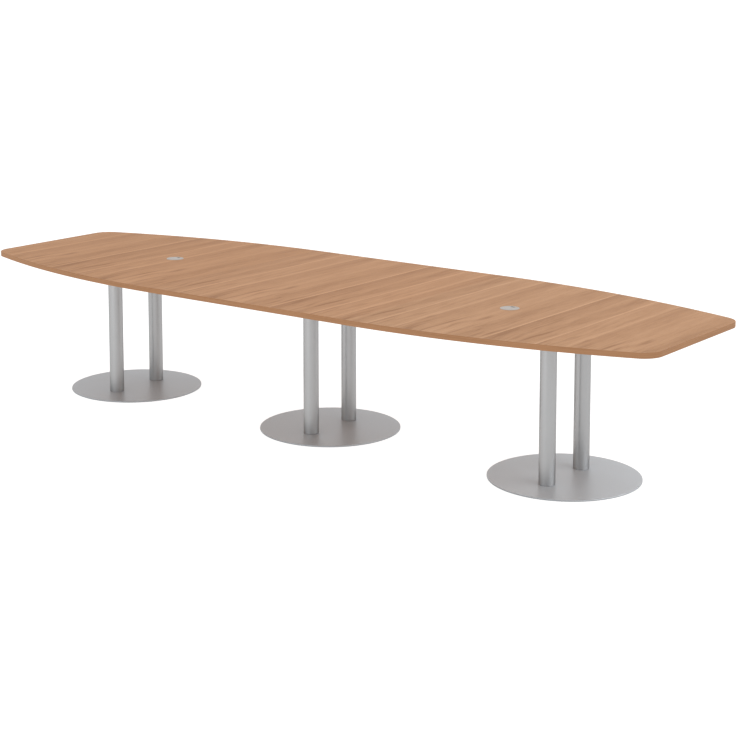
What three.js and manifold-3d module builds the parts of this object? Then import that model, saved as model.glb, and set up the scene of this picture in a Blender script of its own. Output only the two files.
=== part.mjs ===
// Boat-shaped conference table: a top in three joined sections on three pedestals with twin columns.
// Units are millimetres, +Z up. The origin is on the floor under the middle of the table, +X runs along
// the table and -Y is the front long side.
import * as THREE from "three";
import { mergeVertices } from "three/addons/utils/BufferGeometryUtils.js";
import Module from "manifold-3d";

const wasm = await Module();
wasm.setup();

// ---------------------------------------------------------------- driving dimensions
const LENGTH = 4000; // overall, along X
const WIDTH = 1300; // over the straight middle section
const END_WIDTH = 800; // between the points where the side curves would meet the straight ends
const MIDDLE = 1200; // length of the straight middle section
const CORNER_R = 100; // rounded corners of the ends
const TOP_Z = 740; // height of the working surface
const TOP_T = 25; // board thickness
const BAND_T = 2; // edge band thickness
const GAP = 0.3; // clearance between neighbours
const SEAM = 0.3; // gap between two top sections

const PEDESTAL_X = 1350; // the outer pedestals stand this far from the middle
const DISC_D = 700;
const DISC_T = 6;
const DISC_CHAMFER = 1; // on the upper rim
const PAD_D = 690; // floor pad bonded under the disc
const PAD_T = 2;
const COLUMN_D = 75;
const COLUMN_WALL = 2;
const COLUMN_Y = 150; // the two columns of a pedestal stand this far from its middle
const END_PLATE_T = 8; // plates welded into the two ends of a column

const PLATE_X = 140; // mounting plate under the top
const PLATE_Y = 480;
const PLATE_T = 6;
const ROD_D = 10; // tie rod through each column
const ROD_HEAD_D = 20; // countersunk, 90 degrees
const PLATE_SCREW = { x: 50, y: 215, head: 9, headT: 3, shank: 4.5, into: 14 };

const SEAM_X = MIDDLE / 2;
const JOIN_X = 100; // flat plate under each seam
const JOIN_Y = 900;
const JOIN_T = 3;
const JOIN_SCREW = { x: 32, y: 400, head: 8.5, headT: 2.6, shank: 4, into: 13 };

const PORT_X = 1050; // cable ports, in the two end sections
const PORT_HOLE_D = 80;
const PORT_FLANGE_D = 90;
const PORT_FLANGE_T = 2;
const PORT_DEPTH = 22; // sleeve, below the working surface
const PORT_BORE_R = 36.2;
const LEDGE_R = 32.2; // ledge inside the sleeve, which the insert lies on
const LEDGE_TOP = -3.5;
const LEDGE_T = 2;
const LID_R = 35.6;
const INSERT_Z = [-3.2, -1.9]; // the insert's plate, from the working surface
const LID_Z = [-1.6, 1.6]; // the lid
const PIN_R = 4; // pivot in the middle of the insert
const PIN_TOP = -0.1;
const SLOT_W = 24; // cable slot in the rims of the lid and the insert
const SLOT_IN = 20; // where the slot starts, from the middle

// ---------------------------------------------------------------- derived
const TOP_UNDER = TOP_Z - TOP_T;
const DISC_Z0 = PAD_T;
const DISC_Z1 = PAD_T + DISC_T;
const PLATE_Z0 = TOP_UNDER - PLATE_T;
const COLUMN_R = COLUMN_D / 2;
const PEDESTALS = { left: -PEDESTAL_X, centre: 0, right: PEDESTAL_X };
const ENDS = { left: -1, right: 1 };

// ---------------------------------------------------------------- materials
const finish = (name, color, roughness, metalness) =>
  new THREE.MeshStandardMaterial({ name, color, roughness, metalness });
const laminate = finish("laminate", 0xba9274, 0.5, 0);
const banding = finish("edge_band", 0xb07e56, 0.5, 0);
const silver = finish("silver_paint", 0xacacac, 0.45, 0.3);
const zinc = finish("zinc_steel", 0xb9bcc0, 0.35, 0.9);
const portPlastic = finish("port_plastic", 0xb6b5ba, 0.45, 0);
const floorRubber = finish("floor_rubber", 0x1e1e1f, 0.9, 0);

// ---------------------------------------------------------------- solids
// A geometry as a solid: positions only, shared vertices merged, collapsed triangles dropped, faces out.
function solid(geometry) {
  const g = new THREE.BufferGeometry();
  g.setAttribute("position", geometry.getAttribute("position").clone());
  if (geometry.index) g.setIndex(geometry.index.clone());
  const merged = mergeVertices(g, 1e-3);
  const p = merged.getAttribute("position").array;
  const idx = merged.index.array;
  const tri = [];
  let volume = 0;
  for (let i = 0; i < idx.length; i += 3) {
    const [a, b, c] = [idx[i], idx[i + 1], idx[i + 2]];
    if (a === b || b === c || a === c) continue;
    tri.push(a, b, c);
    const [ax, ay, az] = [p[3 * a], p[3 * a + 1], p[3 * a + 2]];
    const [bx, by, bz] = [p[3 * b], p[3 * b + 1], p[3 * b + 2]];
    const [cx, cy, cz] = [p[3 * c], p[3 * c + 1], p[3 * c + 2]];
    volume += ax * (by * cz - bz * cy) + ay * (bz * cx - bx * cz) + az * (bx * cy - by * cx);
  }
  if (volume < 0)
    for (let i = 0; i < tri.length; i += 3) [tri[i + 1], tri[i + 2]] = [tri[i + 2], tri[i + 1]];
  return new wasm.Manifold(
    new wasm.Mesh({
      numProp: 3,
      vertProperties: new Float32Array(p),
      triVerts: new Uint32Array(tri),
    }),
  );
}

function geometryOf(made) {
  const m = made.getMesh();
  const v = new Float32Array(m.numVert * 3);
  for (let i = 0; i < m.numVert; i++)
    v.set(m.vertProperties.subarray(i * m.numProp, i * m.numProp + 3), i * 3);
  const g = new THREE.BufferGeometry();
  g.setAttribute("position", new THREE.BufferAttribute(v, 3));
  g.setIndex(new THREE.BufferAttribute(new Uint32Array(m.triVerts), 1));
  g.computeVertexNormals();
  return g;
}

// A flat outline drawn up from z0 to z1.
function prism(points, z0, z1, holes = []) {
  const s = new THREE.Shape(points.map(([x, y]) => new THREE.Vector2(x, y)));
  for (const h of holes) s.holes.push(new THREE.Path(h.map(([x, y]) => new THREE.Vector2(x, y))));
  const g = new THREE.ExtrudeGeometry(s, { depth: z1 - z0, bevelEnabled: false, steps: 1 });
  g.translate(0, 0, z0);
  return solid(g);
}

// A profile of [radius, z] points turned about the vertical line through (x, y).
function turned(profile, segments, x = 0, y = 0) {
  const g = new THREE.LatheGeometry(
    profile.map(([r, z]) => new THREE.Vector2(r, z)),
    segments,
  );
  g.rotateX(Math.PI / 2);
  g.translate(x, y, 0);
  return solid(g);
}
const ringed = (profile, segments, x, y) => turned([...profile, profile[0]], segments, x, y);
const rod = (r, z0, z1, segments, x, y) =>
  turned([[0, z0], [r, z0], [r, z1], [0, z1]], segments, x, y);

function circle(cx, cy, r, n) {
  return Array.from({ length: n }, (_, i) => {
    const a = (2 * Math.PI * i) / n;
    return [cx + r * Math.cos(a), cy + r * Math.sin(a)];
  });
}

function rounded(x0, y0, x1, y1, r, n) {
  const out = [];
  for (const [cx, cy, a0] of [
    [x1 - r, y1 - r, 0],
    [x0 + r, y1 - r, 90],
    [x0 + r, y0 + r, 180],
    [x1 - r, y0 + r, 270],
  ])
    for (let i = 0; i <= n; i++) {
      const a = ((a0 + (90 * i) / n) * Math.PI) / 180;
      out.push([cx + r * Math.cos(a), cy + r * Math.sin(a)]);
    }
  return out;
}
const box = (x0, y0, x1, y1, z0, z1) =>
  prism([[x0, y0], [x1, y0], [x1, y1], [x0, y1]], z0, z1);

const table = new THREE.Group();
function add(name, made, material, parent = table) {
  const mesh = new THREE.Mesh(geometryOf(made), material);
  mesh.name = name;
  parent.add(mesh);
}

// ---------------------------------------------------------------- the top's outline
// One curved side of an end section, from the seam to the straight end, drawn in by inset: a circular arc that
// leaves the straight middle without a kink, then the rounded corner.
const SAG = (WIDTH - END_WIDTH) / 2;
const RUN = LENGTH / 2 - SEAM_X;
const SIDE_R = (RUN * RUN + SAG * SAG) / (2 * SAG);
const SIDE_CY = WIDTH / 2 - SIDE_R;
function curvedSide(inset, arcSteps = 20, cornerSteps = 9) {
  const big = SIDE_R - inset;
  const small = CORNER_R - inset;
  const xf = LENGTH / 2 - CORNER_R;
  const yf = SIDE_CY + Math.sqrt((SIDE_R - CORNER_R) ** 2 - (xf - SEAM_X) ** 2);
  const start = Math.asin(SEAM / 2 / big);
  const turn = Math.atan2(xf - SEAM_X, yf - SIDE_CY);
  const out = [];
  for (let i = 0; i <= arcSteps; i++) {
    const a = start + ((turn - start) * i) / arcSteps;
    out.push([SEAM_X + big * Math.sin(a), SIDE_CY + big * Math.cos(a)]);
  }
  for (let i = 1; i <= cornerSteps; i++) {
    const a = turn + ((Math.PI / 2 - turn) * i) / cornerSteps;
    out.push([xf + small * Math.sin(a), yf + small * Math.cos(a)]);
  }
  return out;
}
// The front side out to the end, and the rear side back: the open edge is at the seam.
function endOutline(inset, sign) {
  const rear = curvedSide(inset).map(([x, y]) => [sign * x, y]);
  const front = rear.map(([x, y]) => [x, -y]);
  return [...front, ...rear.reverse()];
}

// ---------------------------------------------------------------- top sections and edge bands
const plateScrews = (px) =>
  [[-1, -1], [1, -1], [1, 1], [-1, 1]].map(([a, b]) => [
    px + a * PLATE_SCREW.x,
    b * PLATE_SCREW.y,
  ]);
const joinScrews = (sx) =>
  [-1, 1].flatMap((a) => [-1, 0, 1].map((b) => [sx + a * JOIN_SCREW.x, b * JOIN_SCREW.y]));

// Blind pilot holes in the underside.
function drilled(board, screw, spots) {
  let made = board;
  for (const [x, y] of spots)
    made = made.subtract(
      rod(screw.shank / 2 + GAP, TOP_UNDER - 1, TOP_UNDER + screw.into + 1, 8, x, y),
    );
  return made;
}

const CORE = BAND_T + GAP; // how far the board stops inside the outline
{
  const x = SEAM_X - SEAM / 2;
  const y = WIDTH / 2;
  const board = box(-x, -y + CORE, x, y - CORE, TOP_UNDER, TOP_Z);
  const joins = [...joinScrews(-SEAM_X), ...joinScrews(SEAM_X)];
  add(
    "top_centre_panel",
    drilled(
      drilled(board, PLATE_SCREW, plateScrews(0)),
      JOIN_SCREW,
      joins.filter(([a]) => Math.abs(a) < SEAM_X),
    ),
    laminate,
  );
  add("edge_band_front", box(-x, -y, x, -y + BAND_T, TOP_UNDER, TOP_Z), banding);
  add("edge_band_rear", box(-x, y - BAND_T, x, y, TOP_UNDER, TOP_Z), banding);
}
for (const [end, k] of Object.entries(ENDS)) {
  const hole = circle(k * PORT_X, 0, PORT_HOLE_D / 2, 40);
  const board = prism(endOutline(CORE, k), TOP_UNDER, TOP_Z, [hole]);
  add(
    `top_${end}_panel`,
    drilled(
      drilled(board, PLATE_SCREW, plateScrews(k * PEDESTAL_X)),
      JOIN_SCREW,
      joinScrews(k * SEAM_X).filter(([a]) => Math.abs(a) > SEAM_X),
    ),
    laminate,
  );
  // One strip along the front side, round the end and back along the rear side.
  add(
    `edge_band_${end}_end`,
    prism([...endOutline(0, k), ...endOutline(BAND_T, k).reverse()], TOP_UNDER, TOP_Z),
    banding,
  );
}

// ---------------------------------------------------------------- pedestals
function woodScrew(s, x, y, underHead) {
  const tip = TOP_UNDER + s.into;
  return turned(
    [
      [0, underHead - s.headT],
      [s.head * 0.4, underHead - s.headT],
      [s.head / 2, underHead],
      [s.shank / 2, underHead],
      [s.shank / 2, tip - 3],
      [0, tip],
    ],
    8,
    x,
    y,
  );
}

for (const [where, px] of Object.entries(PEDESTALS)) {
  // Round steel plate, with a countersunk hole under each column.
  const R = DISC_D / 2;
  const hole = ROD_D / 2 + 0.4;
  let disc = turned(
    [
      [0, DISC_Z0],
      [R, DISC_Z0],
      [R, DISC_Z1 - DISC_CHAMFER],
      [R - DISC_CHAMFER, DISC_Z1],
      [0, DISC_Z1],
    ],
    72,
    px,
    0,
  );
  const sink = ROD_HEAD_D / 2 - ROD_D / 2; // depth of the countersink
  for (const y of [-COLUMN_Y, COLUMN_Y])
    disc = disc.subtract(
      turned(
        [
          [0, DISC_Z0 - 1],
          [hole + sink + 1, DISC_Z0 - 1],
          [hole, DISC_Z0 + sink],
          [hole, DISC_Z1 + 1],
          [0, DISC_Z1 + 1],
        ],
        16,
        px,
        y,
      ),
    );
  add(`base_disc_${where}`, disc, silver);

  // Pad that keeps the steel off the floor, cut out under the heads of the tie rods.
  let pad = rod(PAD_D / 2, 0, PAD_T, 64, px, 0);
  for (const y of [-COLUMN_Y, COLUMN_Y])
    pad = pad.subtract(rod(ROD_HEAD_D / 2 + 2, -1, PAD_T + 1, 16, px, y));
  add(`floor_pad_${where}`, pad, floorRubber);

  for (const [face, y] of [["front", -COLUMN_Y], ["rear", COLUMN_Y]]) {
    // Round tube with a drilled plate welded into each end.
    const ri = COLUMN_R - COLUMN_WALL;
    const rh = ROD_D / 2 + 0.5;
    add(
      `column_${where}_${face}`,
      ringed(
        [
          [rh, DISC_Z1],
          [COLUMN_R, DISC_Z1],
          [COLUMN_R, PLATE_Z0],
          [rh, PLATE_Z0],
          [rh, PLATE_Z0 - END_PLATE_T],
          [ri, PLATE_Z0 - END_PLATE_T],
          [ri, DISC_Z1 + END_PLATE_T],
          [rh, DISC_Z1 + END_PLATE_T],
        ],
        32,
        px,
        y,
      ),
      silver,
    );
    // Countersunk in the disc's underside and screwed into the mounting plate.
    add(
      `tie_rod_${where}_${face}`,
      turned(
        [
          [0, DISC_Z0 + 0.2],
          [ROD_HEAD_D / 2 - 0.2, DISC_Z0 + 0.2],
          [ROD_D / 2, DISC_Z0 + sink],
          [ROD_D / 2, TOP_UNDER - 1.5],
          [0, TOP_UNDER - 1.5],
        ],
        16,
        px,
        y,
      ),
      zinc,
    );
  }

  // Plate screwed under the top; the tie rods pull the columns up against it.
  let plate = prism(
    rounded(px - PLATE_X / 2, -PLATE_Y / 2, px + PLATE_X / 2, PLATE_Y / 2, 15, 4),
    PLATE_Z0,
    TOP_UNDER,
  );
  for (const y of [-COLUMN_Y, COLUMN_Y])
    plate = plate.subtract(rod(ROD_D / 2 + GAP, PLATE_Z0 - 1, TOP_UNDER + 1, 16, px, y));
  for (const [x, y] of plateScrews(px))
    plate = plate.subtract(
      rod(PLATE_SCREW.shank / 2 + 0.5, PLATE_Z0 - 1, TOP_UNDER + 1, 10, x, y),
    );
  add(`mounting_plate_${where}`, plate, silver);
  plateScrews(px).forEach(([x, y], i) =>
    add(`plate_screw_${where}_${i + 1}`, woodScrew(PLATE_SCREW, x, y, PLATE_Z0), zinc),
  );
}

// ---------------------------------------------------------------- plates under the two seams
for (const [end, k] of Object.entries(ENDS)) {
  const sx = k * SEAM_X;
  let plate = prism(
    rounded(sx - JOIN_X / 2, -JOIN_Y / 2, sx + JOIN_X / 2, JOIN_Y / 2, 8, 3),
    TOP_UNDER - JOIN_T,
    TOP_UNDER,
  );
  for (const [x, y] of joinScrews(sx))
    plate = plate.subtract(
      rod(JOIN_SCREW.shank / 2 + 0.5, TOP_UNDER - JOIN_T - 1, TOP_UNDER + 1, 10, x, y),
    );
  add(`joining_plate_${end}`, plate, zinc);
  joinScrews(sx).forEach(([x, y], i) =>
    add(`joining_screw_${end}_${i + 1}`, woodScrew(JOIN_SCREW, x, y, TOP_UNDER - JOIN_T), zinc),
  );
}

// ---------------------------------------------------------------- cable ports
// A flanged sleeve in the board, an insert that lies loose on the sleeve's ledge, and a lid that turns on the
// insert's pin. The lid and the insert have the same slot: in line they let a cable through, and a half turn of
// the lid closes it. Heights are from the working surface, and the slot faces the rear.
const slotCut = (z0, z1) =>
  prism(
    [
      ...rounded(-SLOT_W / 2, SLOT_IN, SLOT_W / 2, SLOT_IN + 40, 6, 4).filter(
        ([, y]) => y < SLOT_IN + 20,
      ),
      [SLOT_W / 2, LID_R + 4],
      [-SLOT_W / 2, LID_R + 4],
    ],
    z0 - 1,
    z1 + 1,
  );
for (const [end, k] of Object.entries(ENDS)) {
  const port = new THREE.Group();
  port.position.set(k * PORT_X, 0, TOP_Z);
  table.add(port);

  const wall = PORT_HOLE_D / 2 - 0.4;
  const rim = PORT_FLANGE_D / 2;
  add(
    `cable_port_sleeve_${end}`,
    ringed(
      [
        [PORT_BORE_R, -PORT_DEPTH],
        [wall, -PORT_DEPTH],
        [wall, 0],
        [rim, 0],
        [rim, PORT_FLANGE_T - 1.2],
        [rim - 1.2, PORT_FLANGE_T],
        [PORT_BORE_R, PORT_FLANGE_T],
        [PORT_BORE_R, LEDGE_TOP],
        [LEDGE_R, LEDGE_TOP],
        [LEDGE_R, LEDGE_TOP - LEDGE_T],
        [PORT_BORE_R, LEDGE_TOP - LEDGE_T],
      ],
      40,
    ),
    portPlastic,
    port,
  );

  const insert = turned(
    [
      [0, INSERT_Z[0]],
      [LID_R, INSERT_Z[0]],
      [LID_R, INSERT_Z[1]],
      [PIN_R, INSERT_Z[1]],
      [PIN_R, PIN_TOP],
      [0, PIN_TOP],
    ],
    40,
  ).subtract(slotCut(...INSERT_Z));
  add(`cable_port_insert_${end}`, insert, portPlastic, port);

  const lid = ringed(
    [
      [PIN_R + 0.4, LID_Z[0]],
      [LID_R, LID_Z[0]],
      [LID_R, LID_Z[1] - 0.5],
      [LID_R - 0.5, LID_Z[1]],
      [PIN_R + 0.4, LID_Z[1]],
    ],
    40,
  )
    .add(rod(PIN_R + 0.6, PIN_TOP + 0.3, LID_Z[1], 40, 0, 0))
    .subtract(slotCut(...LID_Z));
  add(`cable_port_lid_${end}`, lid, portPlastic, port);
}

export default table;
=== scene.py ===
"""Looks of a boat-shaped conference table: three wood-decor top sections with lipped edges, three pedestals that each
have a flat disc and two columns, and a cable port in each end section. Units are metres, Z is up."""

import math

import bmesh
import bpy
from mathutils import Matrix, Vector


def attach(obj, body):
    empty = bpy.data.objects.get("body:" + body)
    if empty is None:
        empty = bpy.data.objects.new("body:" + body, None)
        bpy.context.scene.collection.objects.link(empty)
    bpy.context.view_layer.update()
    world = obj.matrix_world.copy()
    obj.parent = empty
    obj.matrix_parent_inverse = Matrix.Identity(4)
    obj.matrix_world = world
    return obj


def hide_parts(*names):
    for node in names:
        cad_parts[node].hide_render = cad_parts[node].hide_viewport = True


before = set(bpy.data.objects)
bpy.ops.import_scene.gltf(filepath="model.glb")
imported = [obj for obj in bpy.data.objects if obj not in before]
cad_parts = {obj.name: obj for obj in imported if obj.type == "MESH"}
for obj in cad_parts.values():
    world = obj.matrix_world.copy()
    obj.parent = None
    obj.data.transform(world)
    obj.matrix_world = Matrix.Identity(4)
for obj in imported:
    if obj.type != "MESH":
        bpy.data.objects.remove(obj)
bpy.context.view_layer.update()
scene = bpy.context.scene

# ---------------------------------------------------------------- camera
lens = bpy.data.cameras.new("camera")
lens.sensor_fit = "HORIZONTAL"
lens.sensor_width = 36.0
lens.lens = 36.0 * 1709.0 / 736.0
lens.shift_y = -0.27
lens.clip_start = 0.05
lens.clip_end = 500.0
camera = bpy.data.objects.new("camera", lens)
scene.collection.objects.link(camera)
camera.location = (5.177, -6.488, 2.356)
camera.rotation_euler = (math.radians(90 - 7.26), 0.0, math.radians(37.29))
scene.camera = camera

# ---------------------------------------------------------------- dimensions, as in the CAD model
LENGTH, WIDTH, END_WIDTH, MIDDLE = 4.0, 1.3, 0.8, 1.2
CORNER_R = 0.1
TOP_Z, TOP_T = 0.74, 0.025
UNDER_Z = TOP_Z - TOP_T
BAND_T = 0.002
SEAM = 0.0003
PEDESTALS = {"left": -1.35, "centre": 0.0, "right": 1.35}
ENDS = {"left": -1, "right": 1}
COLUMN_R, COLUMN_Y = 0.0375, 0.15
PORT_X = 1.05

SAG = (WIDTH - END_WIDTH) / 2
RUN = LENGTH / 2 - MIDDLE / 2
SIDE_R = (RUN * RUN + SAG * SAG) / (2 * SAG)
SIDE_CY = WIDTH / 2 - SIDE_R


# ---------------------------------------------------------------- node helpers
class Nodes:
    """A material's node tree, with short calls for the few kinds of node that these finishes use."""

    def __init__(self, name):
        self.material = bpy.data.materials.new(name)
        self.material.use_nodes = True
        self.tree = self.material.node_tree
        self.bsdf = self.tree.nodes["Principled BSDF"]
        where = self.tree.nodes.new("ShaderNodeTexCoord")
        self.place = where.outputs["Object"]
        split = self.new("ShaderNodeSeparateXYZ")
        self.link(self.place, split.inputs[0])
        self.x, self.y, self.z = split.outputs

    def new(self, kind, **settings):
        node = self.tree.nodes.new(kind)
        for key, value in settings.items():
            setattr(node, key, value)
        return node

    def link(self, a, b):
        self.tree.links.new(a, b)

    def put(self, socket, value):
        if isinstance(value, (int, float, tuple)):
            socket.default_value = value
        else:
            self.link(value, socket)

    def math(self, op, a, b=None, c=None, clamp=False):
        node = self.new("ShaderNodeMath", operation=op, use_clamp=clamp)
        for socket, value in zip(node.inputs, (a, b, c)):
            if value is not None:
                self.put(socket, value)
        return node.outputs[0]

    def add(self, *terms):
        total = terms[0]
        for term in terms[1:]:
            total = self.math("ADD", total, term)
        return total

    def times(self, a, b):
        return self.math("MULTIPLY", a, b)

    def vector(self, x, y, z):
        node = self.new("ShaderNodeCombineXYZ")
        for socket, value in zip(node.inputs, (x, y, z)):
            self.put(socket, value)
        return node.outputs[0]

    def noise(self, vector, scale=1.0, detail=2.0, rough=0.5, distortion=0.0):
        node = self.new("ShaderNodeTexNoise")
        self.link(vector, node.inputs["Vector"])
        node.inputs["Scale"].default_value = scale
        node.inputs["Detail"].default_value = detail
        node.inputs["Roughness"].default_value = rough
        node.inputs["Distortion"].default_value = distortion
        return node.outputs["Fac"]

    def swing(self, noise, amount):
        """A noise value moved to swing about zero."""
        return self.times(self.math("SUBTRACT", noise, 0.5), amount)

    def fade(self, value, start, end, low, high):
        """Goes smoothly from low at start to high at end."""
        node = self.new("ShaderNodeMapRange", interpolation_type="SMOOTHSTEP")
        self.link(value, node.inputs["Value"])
        for key, number in (("From Min", start), ("From Max", end), ("To Min", low), ("To Max", high)):
            node.inputs[key].default_value = number
        return node.outputs[0]

    def band(self, value, middle, half, amount):
        """A soft stripe: amount at the middle, nothing beyond half on both sides."""
        away = self.math("ABSOLUTE", self.math("SUBTRACT", value, middle))
        return self.fade(away, half, 0.0, 0.0, amount)

    def falloff(self, value, start, run, amount):
        """Begins sharply with amount at start and fades out over run."""
        past = self.math("SUBTRACT", value, start)
        return self.times(self.fade(past, run, 0.0, 0.0, amount), self.math("GREATER_THAN", past, 0.0))

    def ramp(self, value, stops, ease="LINEAR"):
        node = self.new("ShaderNodeValToRGB")
        node.color_ramp.interpolation = ease
        line = node.color_ramp.elements
        while len(line) < len(stops):
            line.new(0.5)
        for stop, (at, colour) in zip(line, stops):
            stop.position = at
            stop.color = (*colour, 1.0)
        self.link(value, node.inputs[0])
        return node.outputs[0]

    def bump(self, height, strength, distance):
        node = self.new("ShaderNodeBump")
        node.inputs["Strength"].default_value = strength
        node.inputs["Distance"].default_value = distance
        self.link(height, node.inputs["Height"])
        self.link(node.outputs[0], self.bsdf.inputs["Normal"])

    def set(self, **values):
        for key, value in values.items():
            self.put(self.bsdf.inputs[key.replace("_", " ")], value)


def srgb(r, g, b):
    """Linear colour of an 8-bit screen colour."""
    return tuple(
        v / 12.92 if v <= 0.04045 else ((v + 0.055) / 1.055) ** 2.4
        for v in (r / 255, g / 255, b / 255)
    )


def scaled(colour, k):
    return tuple(min(1.0, v * k) for v in colour)


# ---------------------------------------------------------------- finishes
DECOR_REPEAT = 0.8
# places along one repeat, as shares of it
JOINTS = ((1.0, 0.60, 0.024), (0.295, 0.46, 0.024), (0.463, 0.26, 0.05))  # board joints: place, pale line's tone and run
JOINT_EDGES = ((0.0, 0.15, -0.38), (0.295, 0.03, -0.10), (0.463, 0.08, -0.09))  # shade on the other side: start, run, tone
# broad bands: middle, half width, tone
BOARD_TONES = ((0.20, 0.06, -0.16), (0.525, 0.06, -0.17), (0.70, 0.16, 0.10), (0.86, 0.07, -0.17))


def laminate(name, joint_x, seed, ground_colour):
    """Wood decor with the grain across the table. One printed repeat is made of three boards, whose joints show as a
    fine pale line with a darker edge. Each board has its own soft streaks and fine fibres; darker heartwood streaks
    gather towards the front of the table."""
    m = Nodes(name)
    wander = m.noise(m.vector(m.times(m.x, 2.0), m.times(m.y, 1.3), seed), detail=1.0)
    across = m.math("DIVIDE", m.add(m.x, -joint_x, m.swing(wander, 0.012)), DECOR_REPEAT)
    across = m.math("FRACT", across)
    u = m.times(across, DECOR_REPEAT)
    board = m.add(m.math("GREATER_THAN", across, 0.295), m.math("GREATER_THAN", across, 0.463))
    own = m.times(board, 5.3)
    joints = m.add(*(m.falloff(m.math("SUBTRACT", at, across), 0.0, run, pale) for at, pale, run in JOINTS))
    edges = m.add(*(m.falloff(across, at, run, dark) for at, run, dark in JOINT_EDGES))
    ground_tone = m.add(*(m.band(across, at, half, tone) for at, half, tone in BOARD_TONES))
    bend = m.swing(
        m.noise(m.vector(m.times(u, 6.0), m.times(m.y, 2.6), m.add(own, seed)), detail=2.0), 0.034
    )
    ub = m.math("ADD", u, bend)
    soft = m.noise(m.vector(m.times(ub, 11.0), m.times(m.y, 1.5), m.add(own, 3.1)), detail=2.0)
    streak = m.noise(
        m.vector(m.times(ub, 54.0), m.times(m.y, 2.9), m.add(own, 11.0)), detail=3.0, rough=0.6
    )
    fibre = m.noise(
        m.vector(m.times(ub, 330.0), m.times(m.y, 6.0), m.add(own, seed)), detail=2.0, rough=0.65
    )
    heart = m.noise(
        m.vector(m.times(ub, 40.0), m.times(m.y, 3.4), m.add(own, 27.0)), detail=2.0, rough=0.55
    )
    hearts = m.math("SMOOTH_MAX", m.math("SUBTRACT", heart, 0.52), 0.0, 0.08)
    near = m.fade(m.y, 0.25, -0.45, 0.22, 1.0)
    dash = m.noise(
        m.vector(m.times(ub, 240.0), m.times(m.y, 10.0), m.add(own, 41.0)), detail=1.0
    )
    dashes = m.math("SMOOTH_MAX", m.math("SUBTRACT", dash, 0.60), 0.0, 0.04)
    pore = m.noise(m.vector(m.times(m.x, 1050.0), m.times(m.y, 26.0), seed), detail=1.0)
    pores = m.math("SMOOTH_MAX", m.math("SUBTRACT", pore, 0.61), 0.0, 0.02)
    fine = m.noise(m.vector(m.times(ub, 1500.0), m.times(m.y, 15.0), m.add(own, 2.0)), detail=2.0)
    tone = m.add(
        0.505,
        joints,
        m.times(edges, m.add(m.times(near, 0.42), 0.58)),
        ground_tone,
        m.swing(soft, 0.36),
        m.swing(streak, 0.70),
        m.swing(fibre, 0.34),
        m.swing(fine, 0.30),
        m.times(m.times(hearts, near), -2.6),
        m.times(near, 0.09),
        m.times(m.times(dashes, near), -2.0),
        m.times(pores, -2.2),
    )
    ground = srgb(*ground_colour)
    m.link(
        m.ramp(
            tone,
            [
                (0.0, (ground[0] * 0.72, ground[1] * 0.66, ground[2] * 0.60)),
                (0.5, ground),
                (1.0, (ground[0] * 1.26, ground[1] * 1.33, ground[2] * 1.45)),
            ],
        ),
        m.bsdf.inputs["Base Color"],
    )
    rough = m.add(0.52, m.swing(fibre, 0.10), m.times(pores, 0.5))
    m.set(Roughness=rough, Specular_IOR_Level=0.06)
    m.bump(m.add(m.times(fibre, 0.4), m.times(fine, 0.3), m.times(pores, -2.0)), 0.12, 0.0002)
    return m.material


# partly the lipping's own decor colour, partly painted shade: it is darker than the top's ground so the upright edge
# looks less lit than the top
BAND_TONE = (159, 118, 86)


def edge_lipping():
    """Decor edge strip: fine lines run along the strip, at any direction that it takes."""
    m = Nodes("edge_band")
    lines = m.noise(
        m.vector(m.times(m.x, 2.6), m.times(m.y, 2.6), m.times(m.z, 330.0)),
        detail=3.0,
        rough=0.6,
    )
    fine = m.noise(
        m.vector(m.times(m.x, 14.0), m.times(m.y, 14.0), m.times(m.z, 1500.0)), detail=1.0
    )
    patch = m.noise(
        m.vector(m.times(m.x, 4.0), m.times(m.y, 4.0), m.times(m.z, 12.0)), detail=2.0
    )
    tone = m.add(0.5, m.swing(lines, 0.85), m.swing(fine, 0.3), m.swing(patch, 0.5))
    ground = srgb(*BAND_TONE)
    m.link(
        m.ramp(
            tone,
            [
                (0.0, scaled((ground[0], ground[1] * 0.95, ground[2] * 0.90), 0.76)),
                (0.5, ground),
                (1.0, scaled((ground[0], ground[1] * 1.03, ground[2] * 1.06), 1.22)),
            ],
        ),
        m.bsdf.inputs["Base Color"],
    )
    m.set(Roughness=m.add(0.46, m.swing(lines, 0.12)), Specular_IOR_Level=0.06)
    m.bump(m.add(lines, m.times(fine, 0.4)), 0.08, 0.0002)
    return m.material


def silver_paint(name, tone, metallic, rough, rim=None):
    """Silver powder coat: tiny bright flakes in grey, over a faint orange peel. rim gives the heights between which
    painted shade fades in over a plate's rim and underside, and how dark it gets; it stands in for less light on the
    edge."""
    m = Nodes(name)
    flake = m.noise(m.place, scale=2600.0, detail=1.0)
    cloud = m.noise(m.place, scale=9.0, detail=3.0)
    peel = m.noise(m.place, scale=520.0, detail=2.0)
    value = m.add(0.5, m.swing(flake, 1.9), m.swing(cloud, 0.35))
    ground = srgb(*tone)
    colour = m.ramp(value, [(0.0, scaled(ground, 0.86)), (0.5, ground), (1.0, scaled(ground, 1.13))])
    # painted shade: below these heights the colour is scaled down, so the plate's rim looks less lit than its top
    if rim:
        low, high, painted_rim_shade_share = rim
        shade = m.new("ShaderNodeVectorMath", operation="SCALE")
        m.link(colour, shade.inputs[0])
        m.link(m.fade(m.z, low, high, painted_rim_shade_share, 1.0), shade.inputs["Scale"])
        colour = shade.outputs[0]
    m.link(colour, m.bsdf.inputs["Base Color"])
    m.set(
        Metallic=metallic,
        Roughness=m.add(rough, m.swing(cloud, 0.08), m.swing(flake, 0.06)),
        Specular_IOR_Level=0.2,
        Specular_Tint=(0.62, 0.62, 0.62, 1.0),
    )
    m.bump(m.add(peel, m.times(flake, 0.25)), 0.07, 0.0002)
    return m.material


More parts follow.
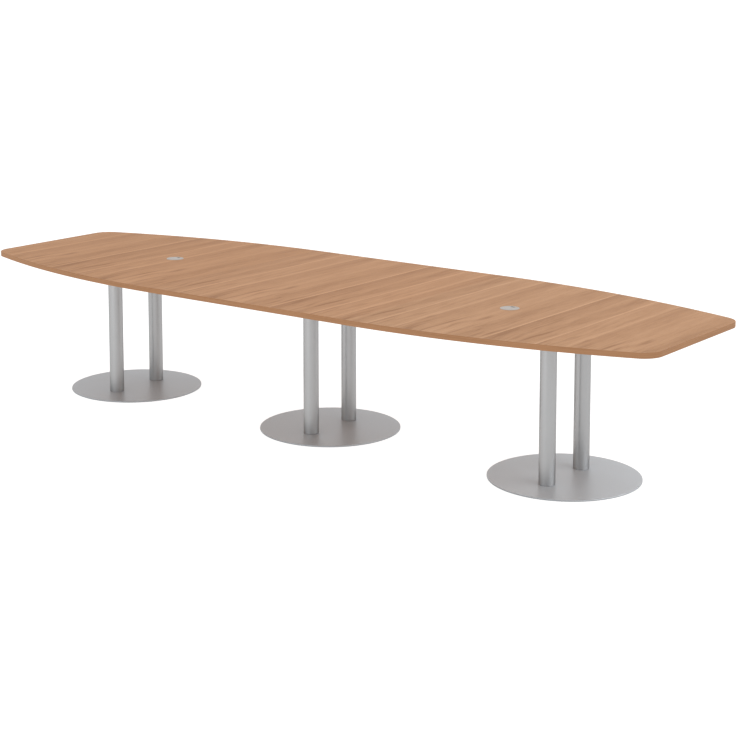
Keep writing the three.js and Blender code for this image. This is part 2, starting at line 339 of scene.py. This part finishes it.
def zinc_steel():
    """Bright zinc plating with a faint yellowish and bluish cloud and fine turning marks."""
    m = Nodes("zinc_steel")
    cloud = m.noise(m.place, scale=140.0, detail=3.0)
    marks = m.noise(
        m.vector(m.times(m.x, 60.0), m.times(m.y, 60.0), m.times(m.z, 4200.0)), detail=2.0
    )
    m.link(
        m.ramp(
            m.add(cloud, m.swing(marks, 0.3)),
            [
                (0.2, (0.37, 0.385, 0.43)),
                (0.5, (0.45, 0.45, 0.445)),
                (0.8, (0.50, 0.48, 0.43)),
            ],
        ),
        m.bsdf.inputs["Base Color"],
    )
    m.set(Metallic=1.0, Roughness=m.add(0.30, m.swing(cloud, 0.16), m.swing(marks, 0.1)))
    m.bump(marks, 0.06, 0.0001)
    return m.material


def port_plastic():
    """Silver-grey moulded plastic with a fine spark-eroded texture."""
    m = Nodes("port_plastic")
    grain = m.noise(m.place, scale=2300.0, detail=2.0)
    cloud = m.noise(m.place, scale=60.0, detail=2.0)
    ground = srgb(*PORT_TONE)
    m.link(
        m.ramp(
            m.add(0.5, m.swing(grain, 0.7), m.swing(cloud, 0.3)),
            [(0.0, scaled(ground, 0.88)), (0.5, ground), (1.0, scaled(ground, 1.1))],
        ),
        m.bsdf.inputs["Base Color"],
    )
    m.set(Roughness=m.add(0.46, m.swing(grain, 0.16)), Specular_IOR_Level=0.4)
    m.bump(grain, 0.14, 0.00012)
    return m.material


def floor_rubber():
    """Black rubber sheet with a fine pebble and a little dust."""
    m = Nodes("floor_rubber")
    pebble = m.noise(m.place, scale=700.0, detail=2.0)
    dust = m.noise(m.place, scale=18.0, detail=4.0, rough=0.6)
    m.link(
        m.ramp(
            m.add(m.times(pebble, 0.5), m.times(dust, 0.5)),
            [(0.3, (0.010, 0.010, 0.011)), (0.55, (0.017, 0.017, 0.018)), (0.8, (0.036, 0.035, 0.034))],
        ),
        m.bsdf.inputs["Base Color"],
    )
    m.set(Roughness=m.add(0.82, m.swing(dust, 0.2)))
    m.bump(pebble, 0.3, 0.0003)
    return m.material


PORT_TONE = (171, 164, 158)
FINISH = {
    # one decor in three sections; the ground colours grow a little lighter and cooler from left to right as painted
    # light, for the stronger light on the right end
    "left_panel": laminate("laminate_left", -1.388, 2.3, (177, 131, 94)),
    "centre_panel": laminate("laminate_centre", 0.162, 14.9, (178, 133, 97)),
    "right_panel": laminate("laminate_right", 1.288, 31.4, (178, 135, 100)),
    "band": edge_lipping(),
    # one silver paint in separate copies: the column's tone is darker as painted shade on its upright faces, the
    # disc's lighter and cooler as painted light where the top shades it and against the warm light the wood throws on
    # it
    "column": silver_paint("silver_paint_column", (167, 168, 169), 0.78, 0.36),
    # painted shade: the disc's last entry darkens its coat over the rim and underside
    "disc": silver_paint("silver_paint_disc", (187, 192, 197), 0.48, 0.38, (0.0066, 0.0079, 0.58)),
    "plate": silver_paint("silver_paint_plate", (150, 150, 152), 0.45, 0.45),
    "zinc": zinc_steel(),
    "port": port_plastic(),
    "rubber": floor_rubber(),
}


# ---------------------------------------------------------------- mesh helpers
def finish_mesh(name, bm, material, angle=32.0):
    """A new object of this mesh, with soft shading except over sharp edges."""
    bmesh.ops.remove_doubles(bm, verts=bm.verts, dist=1e-7)
    bmesh.ops.recalc_face_normals(bm, faces=bm.faces)
    mesh = bpy.data.meshes.new(name)
    bm.to_mesh(mesh)
    bm.free()
    mesh.shade_smooth()
    mesh.set_sharp_from_angle(angle=math.radians(angle))
    mesh.materials.append(material)
    piece = bpy.data.objects.new(name, mesh)
    scene.collection.objects.link(piece)
    return piece


def settle(piece, *nodes_replaced, body="table", slot):
    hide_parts(*nodes_replaced)
    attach(piece, body)
    return piece


def lathe(bm, profile, segments, x=0.0, y=0.0):
    """Turns a closed (r, z) profile round a vertical axis. Points on the axis become one vertex."""
    rings = []
    for r, z in profile:
        if r < 1e-9:
            rings.append([bm.verts.new((x, y, z))])
        else:
            rings.append(
                [
                    bm.verts.new(
                        (
                            x + r * math.cos(2 * math.pi * k / segments),
                            y + r * math.sin(2 * math.pi * k / segments),
                            z,
                        )
                    )
                    for k in range(segments)
                ]
            )
    for a, b in zip(rings, rings[1:] + rings[:1]):
        if len(a) == 1 and len(b) == 1:
            continue
        for k in range(segments):
            n = (k + 1) % segments
            if len(a) == 1:
                bm.faces.new((a[0], b[k], b[n]))
            elif len(b) == 1:
                bm.faces.new((a[k], b[0], a[n]))
            else:
                bm.faces.new((a[k], b[k], b[n], a[n]))


def rounding(r, z, radius, start, steps):
    """Points of a quarter turn about (r, z), from the start angle on, counter-clockwise for positive steps."""
    count = abs(steps)
    turn = 90.0 if steps > 0 else -90.0
    return [
        (
            r + radius * math.cos(math.radians(start + turn * i / count)),
            z + radius * math.sin(math.radians(start + turn * i / count)),
        )
        for i in range(count + 1)
    ]


def circle(x, y, r, n, start=0.0):
    return [
        (
            x + r * math.cos(start + 2 * math.pi * k / n),
            y + r * math.sin(start + 2 * math.pi * k / n),
        )
        for k in range(n)
    ]


def slab(bm, outline, holes, z0, z1, edge=0.0, steps=3):
    """A flat board from z0 to z1 with holes, its rims rounded by edge."""
    loops = [outline] + list(holes)
    caps = {z0: [], z1: []}
    rims = []
    for loop in loops:
        rings = {}
        for z in (z0, z1):
            rings[z] = [bm.verts.new((x, y, z)) for x, y in loop]
            n = len(loop)
            for k in range(n):
                caps[z].append(bm.edges.new((rings[z][k], rings[z][(k + 1) % n])))
        n = len(loop)
        for k in range(n):
            bm.faces.new((rings[z0][k], rings[z0][(k + 1) % n], rings[z1][(k + 1) % n], rings[z1][k]))
        rims += [rings[z0], rings[z1]]
    for z in (z0, z1):
        bmesh.ops.triangle_fill(bm, use_beauty=True, use_dissolve=False, edges=caps[z])
    if edge:
        bmesh.ops.recalc_face_normals(bm, faces=bm.faces)
        sharp = [e for e in caps[z0] + caps[z1] if e.is_valid]
        bmesh.ops.bevel(
            bm,
            geom=sharp,
            offset=edge,
            offset_type="OFFSET",
            segments=steps,
            profile=0.5,
            affect="EDGES",
            clamp_overlap=False,
        )


def rounded_box(x, y, w, d, r, n):
    out = []
    for cx, cy, a0 in (
        (x + w / 2 - r, y + d / 2 - r, 0),
        (x - w / 2 + r, y + d / 2 - r, 90),
        (x - w / 2 + r, y - d / 2 + r, 180),
        (x + w / 2 - r, y - d / 2 + r, 270),
    ):
        for i in range(n + 1):
            a = math.radians(a0 + 90 * i / n)
            out.append((cx + r * math.cos(a), cy + r * math.sin(a)))
    return out


def cut(piece, tool, operation="DIFFERENCE"):
    """Cuts or joins a tool into a piece for good, and removes the tool."""
    step = piece.modifiers.new("cut", "BOOLEAN")
    step.operation = operation
    step.solver = "EXACT"
    step.object = tool
    bpy.context.view_layer.update()
    made = bpy.data.meshes.new_from_object(piece.evaluated_get(bpy.context.evaluated_depsgraph_get()))
    old = piece.data
    name = old.name
    piece.modifiers.clear()
    piece.data = made
    bpy.data.meshes.remove(old)
    made.name = name
    bpy.data.objects.remove(tool)


def resharpen(piece, angle=32.0):
    piece.data.shade_smooth()
    piece.data.set_sharp_from_angle(angle=math.radians(angle))


# ---------------------------------------------------------------- outline of the top
ARC_STEPS, CORNER_STEPS = 96, 28


def end_side(inset):
    """Half outline of the right end, rear side, from the seam to the middle of the end, moved in by inset."""
    r = SIDE_R - inset
    corner = CORNER_R - inset
    xf = LENGTH / 2 - CORNER_R
    yf = SIDE_CY + math.sqrt((SIDE_R - CORNER_R) ** 2 - (xf - MIDDLE / 2) ** 2)
    turn = math.atan2(xf - MIDDLE / 2, yf - SIDE_CY)
    points = []
    for i in range(ARC_STEPS + 1):
        a = turn * i / ARC_STEPS
        points.append((MIDDLE / 2 + r * math.sin(a), SIDE_CY + r * math.cos(a)))
    for i in range(1, CORNER_STEPS + 1):
        a = turn + (math.pi / 2 - turn) * i / CORNER_STEPS
        points.append((xf + corner * math.sin(a), yf + corner * math.cos(a)))
    return points


def end_path(sign, inset):
    """Outline of a whole end, from the rear seam round to the front seam."""
    rear = end_side(inset)
    whole = rear + [(x, -y) for x, y in reversed(rear)]
    whole[0] = (MIDDLE / 2 + SEAM / 2, whole[0][1])
    whole[-1] = (MIDDLE / 2 + SEAM / 2, whole[-1][1])
    return [(sign * x, y) for x, y in whole]


# the panels' cores end where the lipping starts, with a hair's breadth between them
CORE = BAND_T + 0.00005
for w, sign in ENDS.items():
    bm = bmesh.new()
    slab(bm, end_path(sign, CORE), [circle(sign * PORT_X, 0.0, 0.0402, 96)], UNDER_Z, TOP_Z)
    settle(
        finish_mesh(f"top_{w}_section", bm, FINISH[f"{w}_panel"]),
        f"top_{w}_panel",
        slot="laminate",
    )
bm = bmesh.new()
half = MIDDLE / 2 - SEAM / 2
slab(
    bm,
    [
        (-half, -WIDTH / 2 + CORE),
        (half, -WIDTH / 2 + CORE),
        (half, WIDTH / 2 - CORE),
        (-half, WIDTH / 2 - CORE),
    ],
    [],
    UNDER_Z,
    TOP_Z,
)
settle(finish_mesh("top_centre_section", bm, FINISH["centre_panel"]), "top_centre_panel", slot="laminate")

# edge lipping: a 2 mm strip with its two outer edges rounded, bent round each end
LIP_R = 0.0015
LIP = (
    [(BAND_T, TOP_Z)]
    + [(LIP_R - dx, TOP_Z - LIP_R + dz) for dx, dz in rounding(0, 0, LIP_R, 90, -6)]
    + [(LIP_R - dx, UNDER_Z + LIP_R + dz) for dx, dz in rounding(0, 0, LIP_R, 0, -6)]
    + [(BAND_T, UNDER_Z)]
)


def strip(bm, path_of):
    """Sweeps the strip's section along a path; path_of(inset) gives the path moved in by inset."""
    lanes = []
    paths = {}
    for inset, z in LIP:
        key = round(inset, 7)
        if key not in paths:
            paths[key] = path_of(inset)
        lanes.append([bm.verts.new((x, y, z)) for x, y in paths[key]])
    for a, b in zip(lanes, lanes[1:] + lanes[:1]):
        for k in range(len(a) - 1):
            bm.faces.new((a[k], a[k + 1], b[k + 1], b[k]))
    bm.faces.new([lane[0] for lane in lanes])
    bm.faces.new([lane[-1] for lane in lanes])


for w, sign in ENDS.items():
    bm = bmesh.new()
    strip(bm, lambda inset, s=sign: end_path(s, inset))
    settle(finish_mesh(f"lipping_{w}_end", bm, FINISH["band"]), f"edge_band_{w}_end", slot="edge_band")
for w, sign in {"front": -1, "rear": 1}.items():
    bm = bmesh.new()
    strip(
        bm,
        lambda inset, s=sign: [
            (-half + 2 * half * k / 12, s * (WIDTH / 2 - inset)) for k in range(13)
        ],
    )
    settle(finish_mesh(f"lipping_{w}", bm, FINISH["band"]), f"edge_band_{w}", slot="edge_band")

# ---------------------------------------------------------------- pedestals
DISC_R, DISC_Z0, DISC_Z1 = 0.35, 0.002, 0.008
PLATE_Z0 = UNDER_Z - 0.006
ROD_HOLE_R, SINK_R = 0.0054, 0.0104


def screw_mesh(name, head_r, head_t, shank_r, length):
    """Wood screw, point up: low round head with a cross recess, plain neck, thread and a point."""
    bm = bmesh.new()
    top = 0.0
    dome = [
        (head_r * math.sin(math.radians(a)), -head_t * (0.35 + 0.65 * math.cos(math.radians(a))))
        for a in (0, 15, 30, 45, 60, 75, 90)
    ]
    profile = [(max(r, 0.0), z) for r, z in dome] + [(head_r * 0.985, top), (shank_r, top)]
    profile[0] = (0.0, -head_t)
    neck, pitch = 0.003, 0.0018
    z = neck
    profile.append((shank_r * 0.72, neck - 0.0004))
    while z < length - 0.005:
        profile += [(shank_r * 0.70, z), (shank_r, z + pitch * 0.45), (shank_r * 0.70, z + pitch * 0.9)]
        z += pitch
    profile += [(shank_r * 0.62, length - 0.0035), (0.0, length)]
    lathe(bm, profile, 40)
    screw = finish_mesh(name, bm, FINISH["zinc"], 40)
    for turn in (0, 90):
        bm = bmesh.new()
        slab(bm, rounded_box(0, 0, head_r * 1.15, head_r * 0.27, head_r * 0.05, 2), [], -head_t * 1.4, -head_t * 0.32)
        tool = finish_mesh("tool", bm, FINISH["zinc"])
        tool.rotation_euler = (0, 0, math.radians(turn))
        cut(screw, tool)
    resharpen(screw, 40)
    return screw


def place_screws(first, names, points, z):
    for k, (node, (x, y)) in enumerate(zip(names, points)):
        piece = first if k == 0 and first.name not in placed else bpy.data.objects.new(node + "_seen", first.data)
        if piece is not first:
            scene.collection.objects.link(piece)
        placed.add(piece.name)
        piece.location = (x, y, z)
        piece.rotation_euler = (0, 0, math.radians(23 + 37 * len(placed)))
        settle(piece, node, slot="zinc_steel")


placed = set()
tubes = bpy.data.collections.new("tubes")
discs = bpy.data.collections.new("discs")
plate_screw = screw_mesh("plate_screw_left_1_seen", 0.0045, 0.0029, 0.00225, 0.0195)
joining_screw = screw_mesh("joining_screw_left_1_seen", 0.00425, 0.0025, 0.002, 0.0158)

for w, px in PEDESTALS.items():
    # disc: steel plate with a softly broken rim, and a countersunk hole under each column
    bm = bmesh.new()
    lathe(
        bm,
        [(0.0, DISC_Z0)]
        + rounding(DISC_R - 0.0008, DISC_Z0 + 0.0008, 0.0008, 270, 3)
        + rounding(DISC_R - 0.0014, DISC_Z1 - 0.0014, 0.0014, 0, 5)
        + [(DISC_R - 0.004, DISC_Z1), (0.0, DISC_Z1)],
        256,
        px,
        0.0,
    )
    disc = finish_mesh(f"disc_{w}", bm, FINISH["disc"])
    for y in (-COLUMN_Y, COLUMN_Y):
        bm = bmesh.new()
        lathe(
            bm,
            [
                (0.0, DISC_Z0 - 0.002),
                (SINK_R + 0.002, DISC_Z0 - 0.002),
                (ROD_HOLE_R, DISC_Z0 + 0.005),
                (ROD_HOLE_R, DISC_Z1 + 0.002),
                (0.0, DISC_Z1 + 0.002),
            ],
            48,
            px,
            y,
        )
        cut(disc, finish_mesh("tool", bm, FINISH["disc"]))
    resharpen(disc)
    settle(disc, f"base_disc_{w}", slot="silver_paint")
    discs.objects.link(disc)

    for side, y in {"front": -COLUMN_Y, "rear": COLUMN_Y}.items():
        # column: tube with a plate welded into each end, its rims broken
        bm = bmesh.new()
        z0, z1, wall, plate = DISC_Z1, PLATE_Z0, 0.002, 0.008
        inner = COLUMN_R - wall
        lathe(
            bm,
            [(0.0055, z0), (COLUMN_R - 0.0012, z0)]
            + rounding(COLUMN_R - 0.0008, z0 + 0.0009, 0.0008, 270, 4)[1:]
            + [(COLUMN_R, z0 + 0.004), (COLUMN_R, z1 - 0.004)]
            + rounding(COLUMN_R - 0.0008, z1 - 0.0009, 0.0008, 0, 4)
            + [
                (COLUMN_R - 0.0012, z1),
                (0.0055, z1),
                (0.0055, z1 - plate),
                (inner, z1 - plate),
                (inner, z0 + plate),
                (0.0055, z0 + plate),
            ],
            128,
            px,
            y,
        )
        tube = finish_mesh(f"tube_{w}_{side}", bm, FINISH["column"])
        settle(tube, f"column_{w}_{side}", slot="silver_paint")
        tubes.objects.link(tube)
        # tie rod: countersunk head with a hexagon socket under the disc, thread at the top
        bm = bmesh.new()
        head_z = 0.0022
        profile = [
            (0.0, head_z),
            (0.0096, head_z),
            (0.00995, head_z + 0.0003),
            (0.005, head_z + 0.0052),
            (0.005, 0.690),
        ]
        z = 0.690
        while z < 0.711:
            profile += [(0.0043, z + 0.0004), (0.005, z + 0.0011), (0.005, z + 0.0014)]
            z += 0.0015
        profile += [(0.0042, 0.7134), (0.0, 0.7134)]
        lathe(bm, profile, 48, px, y)
        rod = finish_mesh(f"rod_{w}_{side}", bm, FINISH["zinc"], 40)
        bm = bmesh.new()
        slab(bm, circle(px, y, 0.0035, 6), [], head_z - 0.002, head_z + 0.0038)
        cut(rod, finish_mesh("tool", bm, FINISH["zinc"]))
        resharpen(rod, 40)
        settle(rod, f"tie_rod_{w}_{side}", slot="zinc_steel")

    # mounting plate with two threaded holes for the rods and four clearance holes
    bm = bmesh.new()
    corners = [(px + sx * 0.05, sy * 0.215) for sy in (-1, 1) for sx in (-1, 1)]
    slab(
        bm,
        rounded_box(px, 0.0, 0.14, 0.48, 0.015, 8),
        [circle(px, y, 0.0052, 32) for y in (-COLUMN_Y, COLUMN_Y)]
        + [circle(x, y, 0.0026, 24) for x, y in corners],
        PLATE_Z0,
        UNDER_Z,
        edge=0.0004,
        steps=2,
    )
    settle(finish_mesh(f"top_plate_{w}", bm, FINISH["plate"]), f"mounting_plate_{w}", slot="silver_paint")
    place_screws(plate_screw, [f"plate_screw_{w}_{k}" for k in range(1, 5)], corners, PLATE_Z0)

# ---------------------------------------------------------------- joining plates under the seams
for w, sign in ENDS.items():
    sx = sign * MIDDLE / 2
    points = [(sx + dx * 0.032, dy * 0.4) for dy in (-1, 0, 1) for dx in (-1, 1)]
    bm = bmesh.new()
    slab(
        bm,
        rounded_box(sx, 0.0, 0.1, 0.9, 0.008, 6),
        [circle(x, y, 0.0023, 24) for x, y in points],
        UNDER_Z - 0.003,
        UNDER_Z,
        edge=0.0003,
        steps=2,
    )
    settle(finish_mesh(f"seam_plate_{w}", bm, FINISH["zinc"]), f"joining_plate_{w}", slot="zinc_steel")
    place_screws(joining_screw, [f"joining_screw_{w}_{k}" for k in range(1, 7)], points, UNDER_Z - 0.003)

# ---------------------------------------------------------------- cable ports
BORE_R, LEDGE_R, LID_R = 0.0362, 0.0322, 0.0356
SLOT_W, SLOT_IN = 0.024, 0.020


def slotted(x, y, r, steps=96):
    """A round plate with a cable slot in its rim, facing +Y, with rounded inner corners."""
    half_w = SLOT_W / 2
    open_a = math.asin(half_w / r)
    rim = []
    for k in range(steps + 1):
        a = math.pi / 2 + open_a + (2 * math.pi - 2 * open_a) * k / steps
        rim.append((x + r * math.cos(a), y + r * math.sin(a)))
    rc = 0.006
    right = [
        (x + half_w - rc + rc * math.cos(a), y + SLOT_IN + rc + rc * math.sin(a))
        for a in (-math.pi / 2 * i / 8 for i in range(9))
    ]
    left = [
        (x - half_w + rc + rc * math.cos(a), y + SLOT_IN + rc + rc * math.sin(a))
        for a in (-math.pi / 2 - math.pi / 2 * i / 8 for i in range(9))
    ]
    return rim + right + left


for w, sign in ENDS.items():
    x = sign * PORT_X
    # sleeve: flange with a rolled rim on the top, wall with a ledge inside
    bm = bmesh.new()
    lathe(
        bm,
        [(BORE_R, TOP_Z - 0.0035), (BORE_R, TOP_Z + 0.0012)]
        + rounding(BORE_R + 0.0008, TOP_Z + 0.0012, 0.0008, 180, -5)[1:]
        + [(0.0425, TOP_Z + 0.002)]
        + [
            (0.0425 + 0.0025 * math.sin(math.radians(a)), TOP_Z + 0.0002 + 0.0018 * math.cos(math.radians(a)))
            for a in (15, 30, 45, 60, 75, 90)
        ]
        + [
            (0.0449, TOP_Z + 0.00003),
            (0.0398, TOP_Z + 0.00003),
            (0.0398, TOP_Z - 0.0210),
            (0.0392, TOP_Z - 0.0220),
            (0.0372, TOP_Z - 0.0220),
            (BORE_R, TOP_Z - 0.0212),
            (BORE_R, TOP_Z - 0.0055),
            (LEDGE_R, TOP_Z - 0.0055),
            (LEDGE_R, TOP_Z - 0.0035),
        ],
        160,
        x,
        0.0,
    )
    settle(finish_mesh(f"port_sleeve_{w}", bm, FINISH["port"]), f"cable_port_sleeve_{w}", slot="port_plastic")
    # insert: slotted plate with a pivot pin
    bm = bmesh.new()
    slab(bm, slotted(x, 0.0, LID_R), [], TOP_Z - 0.0032, TOP_Z - 0.0019, edge=0.0002, steps=2)
    insert = finish_mesh(f"port_insert_{w}", bm, FINISH["port"])
    bm = bmesh.new()
    lathe(
        bm,
        [(0.0, TOP_Z - 0.0026), (0.004, TOP_Z - 0.0026), (0.004, TOP_Z - 0.0005), (0.0036, TOP_Z - 0.0001), (0.0, TOP_Z - 0.0001)],
        48,
        x,
        0.0,
    )
    cut(insert, finish_mesh("tool", bm, FINISH["port"]), "UNION")
    resharpen(insert)
    settle(insert, f"cable_port_insert_{w}", body=f"{w}_port_insert", slot="port_plastic")
    # lid: slotted plate with a softened rim and a blind bore for the pin
    bm = bmesh.new()
    slab(bm, slotted(x, 0.0, LID_R), [], TOP_Z - 0.0016, TOP_Z + 0.0016, edge=0.0006, steps=4)
    lid = finish_mesh(f"port_lid_{w}", bm, FINISH["port"])
    bm = bmesh.new()
    lathe(
        bm,
        [(0.0, TOP_Z - 0.003), (0.0044, TOP_Z - 0.003), (0.0044, TOP_Z + 0.0002), (0.0, TOP_Z + 0.0002)],
        48,
        x,
        0.0,
    )
    cut(lid, finish_mesh("tool", bm, FINISH["port"]))
    resharpen(lid)
    settle(lid, f"cable_port_lid_{w}", body=f"{w}_port_lid", slot="port_plastic")

# ---------------------------------------------------------------- floor pads: rubber sheets, cut out under the rods
for w, px in PEDESTALS.items():
    bm = bmesh.new()
    slab(
        bm,
        circle(px, 0.0, 0.345, 192),
        [circle(px, y, 0.012, 48) for y in (-COLUMN_Y, COLUMN_Y)],
        0.0,
        DISC_Z0,
        edge=0.0003,
        steps=2,
    )
    settle(finish_mesh(f"floor_sheet_{w}", bm, FINISH["rubber"]), f"floor_pad_{w}", slot="floor_rubber")

# ---------------------------------------------------------------- floor and light
floor_nodes = Nodes("studio_floor")
speck = floor_nodes.noise(floor_nodes.place, scale=3.0, detail=2.0)
floor_nodes.link(
    floor_nodes.ramp(speck, [(0.0, (0.30, 0.30, 0.30)), (1.0, (0.32, 0.32, 0.32))]),
    floor_nodes.bsdf.inputs["Base Color"],
)
floor_nodes.set(
    Roughness=1.0,
    Specular_IOR_Level=0.0,
    Emission_Color=(1.0, 1.0, 1.0, 1.0),
    Emission_Strength=0.90,
)
bm = bmesh.new()
bmesh.ops.create_grid(bm, x_segments=4, y_segments=4, size=150.0)
floor = finish_mesh("studio_floor", bm, floor_nodes.material)
floor.location = (0.0, 0.0, -0.0002)

world = bpy.data.worlds.new("studio")
scene.world = world
world.use_nodes = True
sky = world.node_tree.nodes["Background"]
sky.inputs["Color"].default_value = (1.0, 1.0, 1.0, 1.0)
sky.inputs["Strength"].default_value = 1.0


def soft_light(name, place, aim, size, power, only=None):
    data = bpy.data.lights.new(name, "AREA")
    data.shape = "RECTANGLE"
    data.size, data.size_y = size
    data.energy = power
    lamp = bpy.data.objects.new(name, data)
    lamp.location = place
    lamp.rotation_euler = (Vector(aim) - Vector(place)).to_track_quat("-Z", "Y").to_euler()
    scene.collection.objects.link(lamp)
    if only:
        lamp.light_linking.receiver_collection = only


soft_light("key", (3.1, 2.3, 4.9), (1.5, 0.0, 0.3), (1.6, 1.6), 36.0)
soft_light("front_fill", (-0.5, -7.0, 0.75), (0.0, 0.0, 0.7), (5.0, 1.0), 40.0)
soft_light("tube_fill", (-4.2, -3.8, 0.9), (-0.6, 0.0, 0.4), (2.4, 1.6), 8.0, tubes)
soft_light("disc_fill", (4.6, 0.6, 1.7), (1.0, 0.0, 0.0), (4.4, 2.2), 105.0, discs)

scene.view_settings.view_transform = "Standard"
scene.view_settings.look = "None"
scene.view_settings.exposure = 0.0
scene.view_settings.gamma = 1.0
